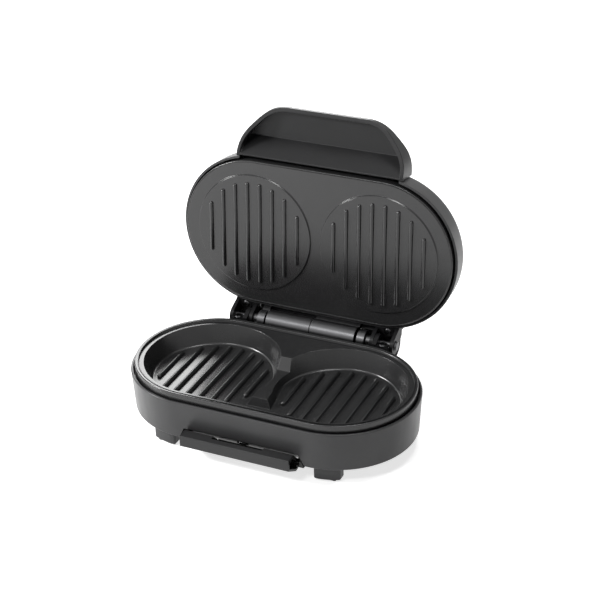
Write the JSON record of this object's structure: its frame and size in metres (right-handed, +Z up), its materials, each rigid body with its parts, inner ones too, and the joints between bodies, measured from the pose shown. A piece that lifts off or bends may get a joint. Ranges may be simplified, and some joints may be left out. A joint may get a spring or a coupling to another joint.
{
  "type": "electric burger maker",
  "caption": "Free-standing electric burger maker with round ribbed pockets in a stadium-shaped base, a hinged upper heating plate with a scoop handle, and a pull-out drip tray",
  "frame": {"origin": "on the table, under the middle of the open object's bounding box", "axes": "+X along the length to the viewer's right when facing the handle side, +Y from the front towards the hinge, +Z up; millimetre model stored in metres"},
  "size_m": [0.284, 0.2281, 0.265],
  "materials": {
    "housing_shell": "charcoal moulded plastic with a fine texture and a soft sheen",
    "handle_shell": "charcoal moulded plastic, slightly smoother than the shells",
    "tray_shell": "dark moulded plastic",
    "cover_shell": "dark moulded plastic",
    "cooking_plate": "cast aluminium with a dark grey non-stick coating",
    "screw_steel": "zinc plated steel",
    "heater_sheath": "steel sheathed heating tube, dull",
    "shield_sheet": "bright aluminium sheet",
    "ceramic_part": null,
    "fuse_case": "plated fuse case with bare leads",
    "foot_rubber": "black rubber",
    "hinge_barrel": "turned and satin finished steel",
    "bracket_gloss": "glossy black moulding",
    "bush_metal": "turned steel bush",
    "power_lens": "red translucent lens",
    "ready_lens": "green translucent lens",
    "lamp_glass": "neon indicator lamp"
  },
  "bodies": {
    "base": {"lower_housing": "housing_shell", "bottom_cover": "cover_shell", "bottom_cover_screws": "screw_steel", "lower_plate": "cooking_plate", "lower_plate_screws": "screw_steel", "lower_heating_element": "heater_sheath", "lower_heat_shield": "shield_sheet", "lower_shield_screws": "screw_steel", "thermostat": "ceramic_part", "thermal_fuse": "fuse_case", "terminal_block": "ceramic_part", "cord_gland": "tray_shell", "front_left_foot": "housing_shell", "front_right_foot": "housing_shell", "rear_left_foot": "housing_shell", "rear_right_foot": "housing_shell", "front_left_foot_pad": "foot_rubber", "front_right_foot_pad": "foot_rubber", "rear_left_foot_pad": "foot_rubber", "rear_right_foot_pad": "foot_rubber", "tray_rail_left": "tray_shell", "tray_rail_right": "tray_shell", "base_hinge_leaf": "hinge_barrel", "base_hinge_bracket_left": "bracket_gloss", "base_hinge_bracket_right": "bracket_gloss", "base_hinge_screws": "screw_steel", "hinge_pin": "screw_steel", "hinge_bushes": "bush_metal"},
    "tray": {"drip_tray": "tray_shell"},
    "lid": {"upper_housing": "housing_shell", "upper_plate": "cooking_plate", "upper_plate_screws": "screw_steel", "upper_heating_element": "heater_sheath", "upper_heat_shield": "shield_sheet", "upper_shield_screws": "screw_steel", "upper_terminal_block": "ceramic_part", "lid_handle": "handle_shell", "handle_screws": "screw_steel", "lid_hinge_leaf": "hinge_barrel", "lid_hinge_bracket_left": "bracket_gloss", "lid_hinge_bracket_right": "bracket_gloss", "lid_hinge_screws": "screw_steel", "power_lamp_lens": "power_lens", "ready_lamp_lens": "ready_lens", "power_lamp": "lamp_glass", "ready_lamp": "lamp_glass"}
  },
  "joints": [
    {"name": "lid_hinge", "type": "hinge", "parent": "base", "child": "lid", "pos_m": [0, 0.0652, 0.0552], "axis": [1, 0, 0], "range_deg": [0, 93.2]},
    {"name": "drip_tray_slide", "type": "slide", "parent": "base", "child": "tray", "axis": [0, -1, 0], "range_m": [0, 0.03]}
  ]
}
